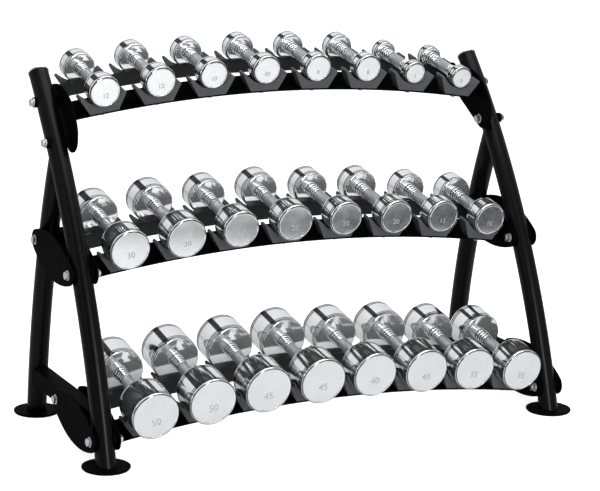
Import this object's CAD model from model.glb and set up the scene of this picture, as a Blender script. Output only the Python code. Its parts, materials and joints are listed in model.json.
"""Finishes of the three-tier dumbbell rack: powder-coated frame, moulded cradles, chrome dumbbells.

Metres, +Z up, +Y to the back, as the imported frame.
"""
import json
import math

import bmesh
import bpy
from mathutils import Matrix, Vector


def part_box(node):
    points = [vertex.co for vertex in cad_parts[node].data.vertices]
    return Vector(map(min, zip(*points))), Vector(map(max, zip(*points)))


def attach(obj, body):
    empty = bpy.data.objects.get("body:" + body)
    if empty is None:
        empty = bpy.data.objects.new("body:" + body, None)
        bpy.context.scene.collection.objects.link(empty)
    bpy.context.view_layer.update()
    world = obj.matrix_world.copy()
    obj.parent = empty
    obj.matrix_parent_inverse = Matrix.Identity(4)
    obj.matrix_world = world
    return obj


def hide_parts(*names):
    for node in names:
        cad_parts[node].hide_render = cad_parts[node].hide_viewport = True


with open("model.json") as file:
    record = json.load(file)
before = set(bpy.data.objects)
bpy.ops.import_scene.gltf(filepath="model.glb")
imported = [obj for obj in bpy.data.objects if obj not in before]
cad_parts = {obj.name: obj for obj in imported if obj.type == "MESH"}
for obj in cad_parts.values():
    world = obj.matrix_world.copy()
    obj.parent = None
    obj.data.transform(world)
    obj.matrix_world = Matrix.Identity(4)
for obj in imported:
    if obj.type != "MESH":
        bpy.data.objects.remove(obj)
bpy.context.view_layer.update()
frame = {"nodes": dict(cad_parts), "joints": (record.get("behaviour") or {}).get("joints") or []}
NODES = frame["nodes"]
RACK = "rack"

MM = 0.001

# The lift joints run square to the tiers, so they give the dumbbells' own directions
LIFT = Vector(frame["joints"][0]["axis"]).normalized()
RIGHT = Vector((1, 0, 0))
BACK = Vector((0, LIFT.z, -LIFT.y))
ARCH_RADIUS = 3.866  # from the arch's centre to the dumbbells' axes


# ---- Materials

def linear(code):
    """A linear RGBA colour from an sRGB hex code."""
    channels = [int(code[i:i + 2], 16) / 255 for i in (1, 3, 5)]
    return [c / 12.92 if c <= 0.04045 else ((c + 0.055) / 1.055) ** 2.4 for c in channels] + [1]


def add_node(tree, kind, inputs=None, **settings):
    """A shader node with its settings; an input is a number, a colour or another node's socket."""
    made = tree.nodes.new(kind)
    for name, value in settings.items():
        setattr(made, name, value)
    for name, value in (inputs or {}).items():
        if isinstance(value, bpy.types.NodeSocket):
            tree.links.new(value, made.inputs[name])
        else:
            made.inputs[name].default_value = value
    return made


def maths(tree, operation, *values):
    """The result of a maths node on numbers and sockets."""
    made = add_node(tree, "ShaderNodeMath", dict(enumerate(values)), operation=operation)
    return made.outputs[0]


def mixed_colour(tree, fac, first, second):
    """Wanders from one colour to another with fac; a colour is a hex code or a socket."""
    mix = add_node(tree, "ShaderNodeMix", data_type="RGBA")
    tree.links.new(fac, mix.inputs[0])
    for place, colour in ((6, first), (7, second)):
        if isinstance(colour, str):
            mix.inputs[place].default_value = linear(colour)
        else:
            tree.links.new(colour, mix.inputs[place])
    return mix.outputs[2]


def new_material(name, **inputs):
    """A material with a Principled shader; returns the material, its tree and its shader."""
    material = bpy.data.materials.new(name)
    material.use_nodes = True
    tree = material.node_tree
    shader = tree.nodes["Principled BSDF"]
    for socket, value in inputs.items():
        shader.inputs[socket.replace("_", " ")].default_value = value
    return material, tree, shader


def object_noise(tree, size, detail=2):
    """Noise with features of a size in metres, fixed to the object."""
    place = add_node(tree, "ShaderNodeTexCoord").outputs["Object"]
    noise = add_node(tree, "ShaderNodeTexNoise",
                     {"Vector": place, "Scale": 1 / size, "Detail": detail})
    return noise.outputs["Fac"]


def vary_colour(tree, shader, fac, low, high):
    """The shader's colour wanders between two hex codes with fac."""
    tree.links.new(mixed_colour(tree, fac, low, high), shader.inputs["Base Color"])


def vary_roughness(tree, shader, fac, low, high):
    """The shader's roughness wanders between two levels with fac."""
    spread = add_node(tree, "ShaderNodeMapRange", {"Value": fac, "To Min": low, "To Max": high})
    tree.links.new(spread.outputs["Result"], shader.inputs["Roughness"])


def add_bump(tree, shader, height, depth, strength):
    """Bump whose full height is depth metres."""
    bump = add_node(tree, "ShaderNodeBump",
                    {"Height": height, "Distance": depth, "Strength": strength})
    tree.links.new(bump.outputs["Normal"], shader.inputs["Normal"])


def powder_coat(name, low, high, level, roughness=0.36):
    """Baked polyester powder over steel: black satin with a fine orange peel about 2 mm across."""
    material, tree, shader = new_material(name, IOR=1.5, Specular_IOR_Level=level)
    vary_colour(tree, shader, object_noise(tree, 60 * MM), low, high)
    vary_roughness(tree, shader, object_noise(tree, 25 * MM), roughness, roughness + 0.08)
    add_bump(tree, shader, object_noise(tree, 2 * MM), 0.06 * MM, 0.6)
    return material


def moulded_urethane(name, low, high):
    """Injection-moulded urethane: matt grey, with the mould's fine spark-eroded grain."""
    material, tree, shader = new_material(name, IOR=1.5, Specular_IOR_Level=0.35)
    vary_colour(tree, shader, object_noise(tree, 30 * MM, 4), low, high)
    vary_roughness(tree, shader, object_noise(tree, 18 * MM), 0.55, 0.68)
    add_bump(tree, shader, object_noise(tree, 1.6 * MM, 3), 0.12 * MM, 0.7)
    return material


def polished_chrome(name, metallic, low="#e3e6ea", high="#eef0f2"):
    """Bright chromium plate on turned steel: a cool mirror, a little uneven where it was buffed."""
    material, tree, shader = new_material(name, Metallic=metallic)
    vary_colour(tree, shader, object_noise(tree, 40 * MM), low, high)
    vary_roughness(tree, shader, object_noise(tree, 14 * MM, 3), 0.045, 0.085)
    add_bump(tree, shader, object_noise(tree, 35 * MM, 1), 0.10 * MM, 0.35)
    return material


def satin_chrome(name, low, high, roughness, ripple=0.25):
    """Chrome over a ground cast face: the same plate, broken up by a shallow ripple."""
    material, tree, shader = new_material(name, Metallic=1.0)
    vary_colour(tree, shader, object_noise(tree, 50 * MM, 1), low, high)
    vary_roughness(tree, shader, object_noise(tree, 30 * MM, 1), roughness, roughness + 0.08)
    add_bump(tree, shader, object_noise(tree, 30 * MM, 2), 0.5 * MM, ripple)
    return material


KNURL_PITCH = 3 * MM
KNURLS_ROUND = 36  # whole diamonds round the grip, so that the pattern meets itself


def knurled_chrome():
    """Chromed diamond knurl of about 1.5 mm, drawn at 3 mm so that it shows."""
    material, tree, shader = new_material("knurled_chrome", Metallic=0.7, Roughness=0.36)
    place = add_node(tree, "ShaderNodeUVMap", uv_map="turned").outputs["UV"]
    split = add_node(tree, "ShaderNodeSeparateXYZ", {"Vector": place})
    ridges = []
    for way in ("ADD", "SUBTRACT"):
        slanted = maths(tree, way, split.outputs["X"], split.outputs["Y"])
        ridges.append(maths(tree, "PINGPONG", slanted, KNURL_PITCH / 2))
    peak = maths(tree, "MINIMUM", *ridges)
    height = maths(tree, "DIVIDE", peak, KNURL_PITCH / 2)
    vary_colour(tree, shader, height, "#8f9396", "#c9cccf")
    add_bump(tree, shader, height, 0.6 * MM, 0.6)
    return material


def cast_numbers():
    """Raised cast numbers under the same plate, which takes no polish there and looks greyer."""
    material, tree, shader = new_material("cast_numbers", Metallic=1.0)
    vary_colour(tree, shader, object_noise(tree, 6 * MM, 3), "#adb1b5", "#cbced1")
    vary_roughness(tree, shader, object_noise(tree, 3 * MM), 0.35, 0.5)
    return material


def turned_groove():
    """The plate in turned grooves, where it mirrors only the groove's other wall."""
    material, tree, shader = new_material("turned_groove", Metallic=1.0)
    vary_colour(tree, shader, object_noise(tree, 8 * MM, 2), "#1e2023", "#36393d")
    vary_roughness(tree, shader, object_noise(tree, 5 * MM), 0.12, 0.2)
    return material


def zinc_plate():
    """Clear-passivated zinc on the fasteners: pale, slightly blue grey, satin."""
    material, tree, shader = new_material("zinc_plate", Metallic=1.0)
    vary_colour(tree, shader, object_noise(tree, 9 * MM, 3), "#b9bec2", "#dde1e4")
    vary_roughness(tree, shader, object_noise(tree, 5 * MM, 3), 0.22, 0.36)
    return material


def moulded_cap():
    """Moulded nylon leg cap in pale silver, with a soft sheen."""
    material, tree, shader = new_material("moulded_cap", Metallic=0.7, IOR=1.53)
    vary_colour(tree, shader, object_noise(tree, 20 * MM), "#aeb2b6", "#c2c6c9")
    vary_roughness(tree, shader, object_noise(tree, 6 * MM), 0.28, 0.38)
    return material


def foot_rubber():
    """Moulded nitrile rubber under the feet: dull black with a soft bloom."""
    material, tree, shader = new_material("foot_rubber", IOR=1.52, Specular_IOR_Level=0.25)
    vary_colour(tree, shader, object_noise(tree, 14 * MM, 3), "#0b0b0c", "#161617")
    vary_roughness(tree, shader, object_noise(tree, 4 * MM), 0.7, 0.85)
    add_bump(tree, shader, object_noise(tree, 1.2 * MM), 0.1 * MM, 0.8)
    return material


# The coat on flat steel barely shines, on the rear rails it catches light, and on tube it gleams
COAT = powder_coat("powder_coat", "#060607", "#0b0b0c", 0.003)
COAT_RAIL = powder_coat("powder_coat_rail", "#0b0b0c", "#121213", 0.35)
COAT_TUBE = powder_coat("powder_coat_tube", "#030304", "#070708", 0.12, 0.26)
CRADLE = moulded_urethane("moulded_urethane", "#424448", "#4e5054")
# The plate on the outside of a head, on its inner face and on the rim of its end face
CHROME = polished_chrome("polished_chrome", 0.95)
CHROME_INNER = polished_chrome("inner_chrome", 0.82)
CHROME_RIM = polished_chrome("rim_chrome", 0.95, "#63666a", "#74777a")
KNURL = knurled_chrome()
ZINC = zinc_plate()
CAP = moulded_cap()
NUMBERS = cast_numbers()
GROOVE = turned_groove()
RUBBER = foot_rubber()
# The end faces' plate, by the heaviest dumbbell in pounds that has it
END_FACES = {
    12: satin_chrome("satin_chrome_small", "#f2f4f5", "#fcfdfe", 0.2, 0.12),
    30: satin_chrome("satin_chrome_middling", "#e4e7ea", "#f4f6f8", 0.10),
    50: satin_chrome("satin_chrome_large", "#d8dbde", "#e6e9eb", 0.22),
}


# ---- Shapes

SMOOTH_BELOW = math.radians(35)  # faces that meet at less are shaded as one surface
ROUND_ABOVE = math.radians(32)  # edges of the solids that meet at more are rounded
FLAT_WITHIN = math.radians(0.4)  # faces that meet at less are joined into one
SOLID_MERGE = 0.01 * MM
TURNED_MERGE = 0.001 * MM
FILLET_STEPS = 5
ROUND_STEPS = 96  # faces round a turned piece
LARGE_FACES_LEAD = 90  # of 100, in shading a piece with rounded edges


def new_piece(name, bm, materials, body):
    """A finished piece from a bmesh: its object sits at the origin and rides on a body."""
    mesh = bpy.data.meshes.new(name)
    bm.to_mesh(mesh)
    bm.free()
    for material in materials:
        mesh.materials.append(material)
    mesh.shade_smooth()
    mesh.set_sharp_from_angle(angle=SMOOTH_BELOW)
    piece = bpy.data.objects.new(name, mesh)
    bpy.context.scene.collection.objects.link(piece)
    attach(piece, body)
    return piece


def softened(node, material, slot, width):
    """Stands for a static CAD node: its doubles merged, its edges rounded, its curves smooth."""
    bm = bmesh.new()
    bm.from_mesh(NODES[node].data)
    bmesh.ops.remove_doubles(bm, verts=bm.verts, dist=SOLID_MERGE)
    bmesh.ops.dissolve_limit(bm, angle_limit=FLAT_WITHIN, verts=bm.verts, edges=bm.edges)
    if width:
        sharp = [e for e in bm.edges if e.is_manifold and e.calc_face_angle() > ROUND_ABOVE]
        bmesh.ops.bevel(bm, geom=sharp, offset=width, segments=2, profile=0.5, material=-1,
                        affect="EDGES", clamp_overlap=True)
    piece = new_piece(node + "_finish", bm, [material], RACK)
    if width:
        even = piece.modifiers.new("even_faces", "WEIGHTED_NORMAL")
        even.keep_sharp = True
        even.weight = LARGE_FACES_LEAD
    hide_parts(node)


def filleted(corners):
    """Points of an outline whose corners (radius, height, fillet) are rounded by arcs."""
    points = []
    for i, (r, z, fillet) in enumerate(corners):
        here = Vector((r, z))
        if not fillet:
            points.append(here)
            continue
        before = (Vector(corners[i - 1][:2]) - here).normalized()
        after = (Vector(corners[i + 1][:2]) - here).normalized()
        half = before.angle(after) / 2
        reach = fillet / math.tan(half)
        centre = here + (before + after).normalized() * fillet / math.sin(half)
        start, end = here + before * reach - centre, here + after * reach - centre
        points += [centre + start.slerp(end, k / FILLET_STEPS).normalized() * fillet
                   for k in range(FILLET_STEPS + 1)]
    return points


def turned(points):
    """A bmesh turned about Z from an outline of (radius, height), closed at both poles.

    The UV map "turned" unrolls it in metres at the grip's size: round the axis, and along it.
    """
    bm = bmesh.new()
    line = [bm.verts.new((max(p[0], 0), 0, p[1])) for p in points]
    edges = [bm.edges.new(pair) for pair in zip(line, line[1:])]
    bmesh.ops.spin(bm, geom=line + edges, axis=(0, 0, 1), cent=(0, 0, 0), angle=2 * math.pi,
                   steps=ROUND_STEPS, use_merge=True)
    bmesh.ops.remove_doubles(bm, verts=bm.verts, dist=TURNED_MERGE)
    bmesh.ops.recalc_face_normals(bm, faces=bm.faces)
    layer = bm.loops.layers.uv.new("turned")
    unrolled = KNURL_PITCH * KNURLS_ROUND / (2 * math.pi)
    for face in bm.faces:
        middle = face.calc_center_median()
        base = math.atan2(middle.y, middle.x)
        for loop in face.loops:
            at = loop.vert.co
            turn = math.atan2(at.y, at.x) - base
            turn = base + (turn + math.pi) % (2 * math.pi) - math.pi
            loop[layer].uv = (turn * unrolled, at.z)
    return bm


# ---- Dumbbells

# Heads
RIM_FILLET = 6 * MM
RIM_FLAT = 1 * MM  # between the rim's fillet and the recess of the end face
RECESS_FILLET = 0.2 * MM
FACE_STEP = 0.7 * MM  # depth of the recess
INNER_FILLET = 5 * MM
GROOVE_PLACES = [10 * MM, 17 * MM]  # from each end of a head
SHORT_HEAD = 60 * MM  # a head shorter than this has only the first of them
GROOVE_W = 4 * MM
GROOVE_DEEP = 1.5 * MM

# Grip: it swells a little to its middle, and ends in a collar of rings before each head
GRIP_MIDDLE = 17 * MM
GRIP_END = 15.5 * MM
GRIP_STATIONS = [0, 0.25, 0.5, 0.75, 1]
GRIP_PLAIN = 0.5 * MM  # the grip's straight end
COLLAR_REACH = 43 * MM
COLLAR_RINGS = [18.0 * MM, 18.4 * MM, 19.2 * MM, 20.8 * MM]
FIRST_RING = 1.5 * MM  # from the knurl's end
RING_PITCH = 10.5 * MM
RING_W = 6.5 * MM
RING_FILLET = 2 * MM
VALLEY_DEEP = 2.5 * MM

# Raised numbers
NUMBERS_DEEP = 0.6 * MM
NUMBERS_SIZE = 0.42  # of the head's radius
NUMBERS_DOWN = 0.26  # of the head's radius, below its middle
NUMBERS_CURVE = 4  # steps from one point of a figure's outline to the next

# A dumbbell's materials, in the order in which its piece is given them
PLATE, KNURLED, END_FACE, NUMBER, DARK, INNER_FACE, RIM = range(7)

# What tells its faces apart: how far they lie from its axis, and how far their normals turn
# towards it, where 1 is along the axis and 0 square to it
KNURL_WITHIN = 18 * MM
VALLEYS_WITHIN = 19.1 * MM
INNER_FACE_PAST = 21 * MM
INNER_FACE_NEAR = 1 * MM  # along the axis, from where the head starts
HEAD_PAST = 30 * MM
FLAT_TILT = 0.995
GROOVE_TILTS = (0.3, 0.9)
RIM_TILTS = (0.55, 0.985)


def dumbbell_sizes(node):
    """Centre, head radius, half length and half grip of a CAD dumbbell, from its mesh."""
    low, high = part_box(node)
    centre = (low + high) / 2
    reach = radius = 0
    grip = 1
    for vertex in NODES[node].data.vertices:
        out = vertex.co - centre
        along = abs(out.dot(BACK))
        from_axis = (out - BACK * out.dot(BACK)).length
        reach = max(reach, along)
        radius = max(radius, from_axis)
        if from_axis > HEAD_PAST:
            grip = min(grip, along)
    return centre, radius, reach, grip


def head_corners(radius, inner, outer):
    """Outline of one head from its inner face to its recessed end face."""
    places = GROOVE_PLACES[:1] if outer - inner < SHORT_HEAD else GROOVE_PLACES
    corners = [(radius, inner, INNER_FILLET)]
    for z in sorted([inner + p for p in places] + [outer - p for p in places]):
        corners += [
            (radius, z - GROOVE_W / 2, 0),
            (radius - GROOVE_DEEP, z, 0),
            (radius, z + GROOVE_W / 2, 0),
        ]
    recess = radius - RIM_FILLET - RIM_FLAT
    corners += [
        (radius, outer, RIM_FILLET),
        (recess, outer, RECESS_FILLET),
        (recess - FACE_STEP, outer - FACE_STEP, 0),
        (0, outer - FACE_STEP, 0),
    ]
    return corners


def dumbbell_outline(radius, reach, grip):
    """Half outline of a dumbbell, from the middle of its grip out to one end."""
    knurl_end = grip - COLLAR_REACH
    swell = GRIP_MIDDLE - GRIP_END
    corners = [(GRIP_END + swell * (1 - s * s), s * knurl_end, 0) for s in GRIP_STATIONS]
    corners += [(GRIP_END, knurl_end + GRIP_PLAIN, 0)]
    valley = GRIP_END
    for k, ring in enumerate(COLLAR_RINGS):
        low = knurl_end + FIRST_RING + RING_PITCH * k
        high = low + RING_W
        corners += [(valley, low, 0), (ring, low, RING_FILLET), (ring, high, RING_FILLET)]
        valley = ring - VALLEY_DEEP
        corners += [(valley, high, 0)]
    corners += [(valley, grip, 0)]
    return filleted(corners + head_corners(radius, grip, reach))


def in_valley(past_knurl):
    """Whether a point of a collar, this far past the knurl's end, lies beside a ring."""
    place = past_knurl - FIRST_RING
    return place < 0 or place % RING_PITCH > RING_W


def within(value, ends):
    """Whether a value lies between two ends."""
    return ends[0] < value < ends[1]


def material_of(face, radius, reach, grip):
    """Which of a dumbbell's materials a face of its turned body takes."""
    at = face.calc_center_median()
    along, out, tilt = abs(at.z), at.xy.length, abs(face.normal.z)
    knurl_end = grip - COLLAR_REACH
    if along < knurl_end and out < KNURL_WITHIN:
        return KNURLED
    rim_end, rim_edge = reach - RIM_FILLET, radius - RIM_FILLET
    if along > reach - 2 * FACE_STEP and tilt > FLAT_TILT and out < rim_edge:
        return END_FACE
    if out > radius - GROOVE_DEEP and within(tilt, GROOVE_TILTS) and along < rim_end:
        return DARK  # the grooves, and a line round the inner rim
    if along > rim_end and out > rim_edge and within(tilt, RIM_TILTS):
        return RIM  # the inner half of the rim's fillet
    if abs(along - grip) < INNER_FACE_NEAR and out > INNER_FACE_PAST:
        return INNER_FACE
    on_collar = knurl_end < along < grip and out < VALLEYS_WITHIN
    return DARK if on_collar and in_valley(along - knurl_end) else PLATE


def add_numbers(bm, text, size, place):
    """Adds raised numbers to a bmesh: made centred in the XY plane, then put in their place."""
    curve = bpy.data.curves.new("numbers", "FONT")
    curve.body = text
    curve.size = size
    curve.align_x = "CENTER"
    curve.align_y = "CENTER"
    curve.extrude = NUMBERS_DEEP
    curve.bevel_depth = NUMBERS_DEEP / 3
    curve.resolution_u = NUMBERS_CURVE
    lettering = bpy.data.objects.new("numbers", curve)
    bpy.context.scene.collection.objects.link(lettering)
    bpy.context.view_layer.update()
    mesh = bpy.data.meshes.new_from_object(lettering)
    mesh.transform(place)
    first = len(bm.faces)
    bm.from_mesh(mesh)
    bm.faces.ensure_lookup_table()
    for face in bm.faces[first:]:
        face.material_index = NUMBER
    bpy.data.objects.remove(lettering)
    bpy.data.curves.remove(curve)
    bpy.data.meshes.remove(mesh)


def dumbbell(node):
    """A chrome dumbbell with grooved heads, ringed collars, a knurled grip and raised numbers."""
    weight = int(node.split("_")[1].removesuffix("lb"))
    centre, radius, reach, grip = dumbbell_sizes(node)
    half = dumbbell_outline(radius, reach, grip)
    bm = turned([Vector((p.x, -p.y)) for p in reversed(half[1:])] + half)
    for face in bm.faces:
        face.material_index = material_of(face, radius, reach, grip)
    on_face = Matrix.Translation(
        (0, -NUMBERS_DOWN * radius, reach - FACE_STEP - NUMBERS_DEEP / 2))
    for turn in (0, math.pi):
        place = Matrix.Rotation(turn, 4, "Y") @ on_face
        add_numbers(bm, str(weight), NUMBERS_SIZE * radius, place)
    lean = math.asin(centre.x / ARCH_RADIUS)
    axes = Matrix((RIGHT, LIFT, -BACK)).transposed().to_4x4()
    roll = Matrix.Rotation(-lean, 4, "Z")
    place = Matrix.Translation(centre) @ axes @ roll
    bmesh.ops.transform(bm, matrix=place, verts=bm.verts)
    end_face = next(m for heaviest, m in END_FACES.items() if weight <= heaviest)
    materials = [CHROME, KNURL, end_face, NUMBERS, GROOVE, CHROME_INNER, CHROME_RIM]
    piece = new_piece(node + "_finish", bm, materials, node + "_body")
    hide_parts(node)


# ---- The rack

# By the end of a node's name: its material, its slot, and how far its edges are rounded
STATIC = {
    "front_leg": (COAT_TUBE, "frame_black", 0),
    "rear_leg": (COAT_TUBE, "frame_black", 0),
    "brace": (COAT, "frame_black", 2.5 * MM),
    "plate": (COAT, "frame_black", 0.8 * MM),
    "front_rail": (COAT, "frame_black", 0.9 * MM),
    "rear_rail": (COAT_RAIL, "frame_black", 0.9 * MM),
    "foot_plates": (COAT, "frame_black", 1.2 * MM),
    "foot_pads": (RUBBER, "pad_rubber", 0.6 * MM),
    "leg_caps": (CAP, "cap_silver", 0.5 * MM),
    "cradles": (CRADLE, "cradle_grey", 1.2 * MM),
    "leg_bushings": (COAT, "frame_black", 0.6 * MM),
    "frame_bolts": (ZINC, "zinc_steel", 0.5 * MM),
    "frame_washers": (ZINC, "zinc_steel", 0.3 * MM),
    "frame_nuts": (ZINC, "zinc_steel", 0.4 * MM),
    "cradle_screws": (ZINC, "zinc_steel", 0.3 * MM),
}

for name in sorted(NODES):
    if name.startswith("dumbbell_"):
        dumbbell(name)
    else:
        softened(name, *next(STATIC[kind] for kind in STATIC if name.endswith(kind)))


# ---- Studio: floor, backdrop, lamps and camera

FLOOR_HALF = 40
WHITE = "#f4f4f4"
SHADE = "#3a3d40"  # of the card and the room's dark ends, as chrome mirrors them
FLOOR_GLOW = 0.8

# Where the card and the dark ends of the room start and end, across (X) or ahead (Y)
CARD_SLANT = -0.14
CARD_NEAR = (-0.89, -0.93)
CARD_FAR = (-1.09, -1.02)
CARD_DEEPENS = (-0.5, 0.7)
FRONT_END = (-2.2, -2.6)
LEFT_END = (-1.7, -2.1)
LEFT_END_BACK = (0.5, 0.1)


def studio_floor():
    """A white floor that stays white to the camera and keeps a faint shadow."""
    bm = bmesh.new()
    bmesh.ops.create_grid(bm, x_segments=1, y_segments=1, size=FLOOR_HALF)
    mesh = bpy.data.meshes.new("floor")
    bm.to_mesh(mesh)
    bm.free()
    floor = bpy.data.objects.new("floor", mesh)
    bpy.context.scene.collection.objects.link(floor)
    material, tree, shader = new_material("floor_paint", Roughness=0.9, Specular_IOR_Level=0.0)
    rays = add_node(tree, "ShaderNodeLightPath")
    shader.inputs["Emission Color"].default_value = (1, 1, 1, 1)
    glow = maths(tree, "MULTIPLY", rays.outputs["Is Camera Ray"], FLOOR_GLOW)
    tree.links.new(glow, shader.inputs["Emission Strength"])
    place = add_node(tree, "ShaderNodeSeparateXYZ",
                     {"Vector": add_node(tree, "ShaderNodeTexCoord").outputs["Object"]})
    across, ahead = place.outputs["X"], place.outputs["Y"]

    def ramp(value, ends, least=0.0):
        """Rises smoothly to 1 as value goes from the first end to the second."""
        made = add_node(tree, "ShaderNodeMapRange",
                        {"Value": value, "From Min": ends[0], "From Max": ends[1],
                         "To Min": least, "To Max": 1.0}, interpolation_type="SMOOTHSTEP")
        return made.outputs[0]

    # A grey card whose near edge runs away from the rack to the right
    slanted = maths(tree, "MULTIPLY_ADD", across, CARD_SLANT, ahead)
    card = maths(tree, "MULTIPLY", ramp(slanted, CARD_NEAR), ramp(ahead, CARD_FAR))
    card = maths(tree, "MULTIPLY", card, ramp(across, CARD_DEEPENS, 0.5))
    # The dark room past the front and the left end of the white floor
    left = maths(tree, "MULTIPLY", ramp(across, LEFT_END), ramp(ahead, LEFT_END_BACK))
    room = maths(tree, "MAXIMUM", ramp(ahead, FRONT_END), left)
    shade = maths(tree, "MAXIMUM", card, room)
    shade = maths(tree, "MULTIPLY", shade, rays.outputs["Is Glossy Ray"])
    vary_colour(tree, shader, shade, WHITE, SHADE)
    mesh.materials.append(material)


# Dark flags in the white room: azimuth from straight back, half width, lowest and highest
# sine of the height above the horizon, and darkness
FLAGS = [
    (-14.5, 10, 0.5, 1.0, 1.0),
    (66, 9, 0.45, 1.0, 1.0),
    (-88, 8, 0.5, 1.0, 1.0),
    (128, 12, 0.4, 0.9, 1.0),
    (-152, 22, 0.3, 0.8, 0.9),
    (-135, 85, -1.0, 0.3, 0.5),
    (115, 60, -1.0, 0.3, 0.5),
]
FLAG_COLOUR = "#20262f"
ROOM_HEIGHTS = (-0.5, 0.8)  # sines between which the room grows lighter
ROOM_LEVELS = (0.55, 0.98)
AMBIENT = 0.55


def studio_world():
    """White to the camera; a soft white room with dark flags for what is polished."""
    world = bpy.data.worlds.new("studio")
    world.use_nodes = True
    bpy.context.scene.world = world
    tree = world.node_tree
    tree.nodes.clear()
    way = add_node(tree, "ShaderNodeTexCoord").outputs["Generated"]
    axes = add_node(tree, "ShaderNodeSeparateXYZ", {"Vector": way})
    turn = maths(tree, "ARCTAN2", axes.outputs["X"], axes.outputs["Y"])
    height = axes.outputs["Z"]
    dark = 0.0
    for azimuth, half, low, top, darkness in FLAGS:
        beside = maths(tree, "COMPARE", turn, math.radians(azimuth), math.radians(half))
        level = maths(tree, "COMPARE", height, (low + top) / 2, (top - low) / 2)
        flag = maths(tree, "MULTIPLY", maths(tree, "MULTIPLY", beside, level), darkness)
        dark = maths(tree, "MAXIMUM", dark, flag)
    room = add_node(tree, "ShaderNodeMapRange",
                    {"Value": height, "From Min": ROOM_HEIGHTS[0], "From Max": ROOM_HEIGHTS[1],
                     "To Min": ROOM_LEVELS[0], "To Max": ROOM_LEVELS[1]}).outputs[0]
    tint = add_node(tree, "ShaderNodeCombineColor", {"Red": room, "Green": room, "Blue": room})
    mirrored = mixed_colour(tree, dark, tint.outputs[0], FLAG_COLOUR)

    def background(colour, strength):
        return add_node(tree, "ShaderNodeBackground",
                        {"Color": colour, "Strength": strength}).outputs[0]

    def choice(fac, first, second):
        mix = add_node(tree, "ShaderNodeMixShader")
        for place, socket in enumerate((fac, first, second)):
            tree.links.new(socket, mix.inputs[place])
        return mix.outputs[0]

    rays = add_node(tree, "ShaderNodeLightPath").outputs
    white = (1, 1, 1, 1)
    lit = choice(rays["Is Glossy Ray"], background(white, AMBIENT), background(mirrored, 1.0))
    seen = choice(rays["Is Camera Ray"], lit, background(white, 1.0))
    add_node(tree, "ShaderNodeOutputWorld", {"Surface": seen})


def softbox(name, at, look_at, width, height, watts):
    """A rectangular area lamp aimed at a point."""
    lamp = bpy.data.lights.new(name, "AREA")
    lamp.shape = "RECTANGLE"
    lamp.size = width
    lamp.size_y = height
    lamp.energy = watts
    holder = bpy.data.objects.new(name, lamp)
    holder.location = at
    aim = Vector(look_at) - Vector(at)
    holder.rotation_euler = aim.to_track_quat("-Z", "Y").to_euler()
    bpy.context.scene.collection.objects.link(holder)


CAMERA_AT = (-2.71032, -5.28918, 1.84161)
CAMERA_YAW, CAMERA_PITCH, CAMERA_ROLL = 0.469568, 0.178477, 0.027321  # radians
CAMERA_LENS, CAMERA_SENSOR = 125.02, 36  # mm
CAMERA_SHIFT = (0.00904, -0.15058)  # of the frame's width


def studio_camera():
    """A long lens from the left front and above, with the frame's centre shifted down."""
    yaw, pitch, roll = CAMERA_YAW, CAMERA_PITCH, CAMERA_ROLL
    forward = Vector((math.sin(yaw) * math.cos(pitch), math.cos(yaw) * math.cos(pitch),
                      -math.sin(pitch)))
    level = Vector((math.cos(yaw), -math.sin(yaw), 0))
    upright = level.cross(forward)
    right = level * math.cos(roll) + upright * math.sin(roll)
    up = right.cross(forward)
    data = bpy.data.cameras.new("camera")
    data.lens = CAMERA_LENS
    data.sensor_width = CAMERA_SENSOR
    data.sensor_fit = "HORIZONTAL"
    data.shift_x, data.shift_y = CAMERA_SHIFT
    camera = bpy.data.objects.new("camera", data)
    axes = Matrix((right, up, -forward)).transposed().to_4x4()
    camera.matrix_world = Matrix.Translation(CAMERA_AT) @ axes
    bpy.context.scene.collection.objects.link(camera)
    bpy.context.scene.camera = camera


studio_floor()
studio_world()
softbox("front", at=(-0.3, -4.3, 1.5), look_at=(0, 0, 0.6), width=0.5, height=2.2, watts=90)
softbox("overhead", at=(0.3, -0.6, 3.6), look_at=(0, 0, 0.5), width=3.2, height=2.2, watts=60)
studio_camera()
bpy.context.scene.view_settings.view_transform = "Standard"
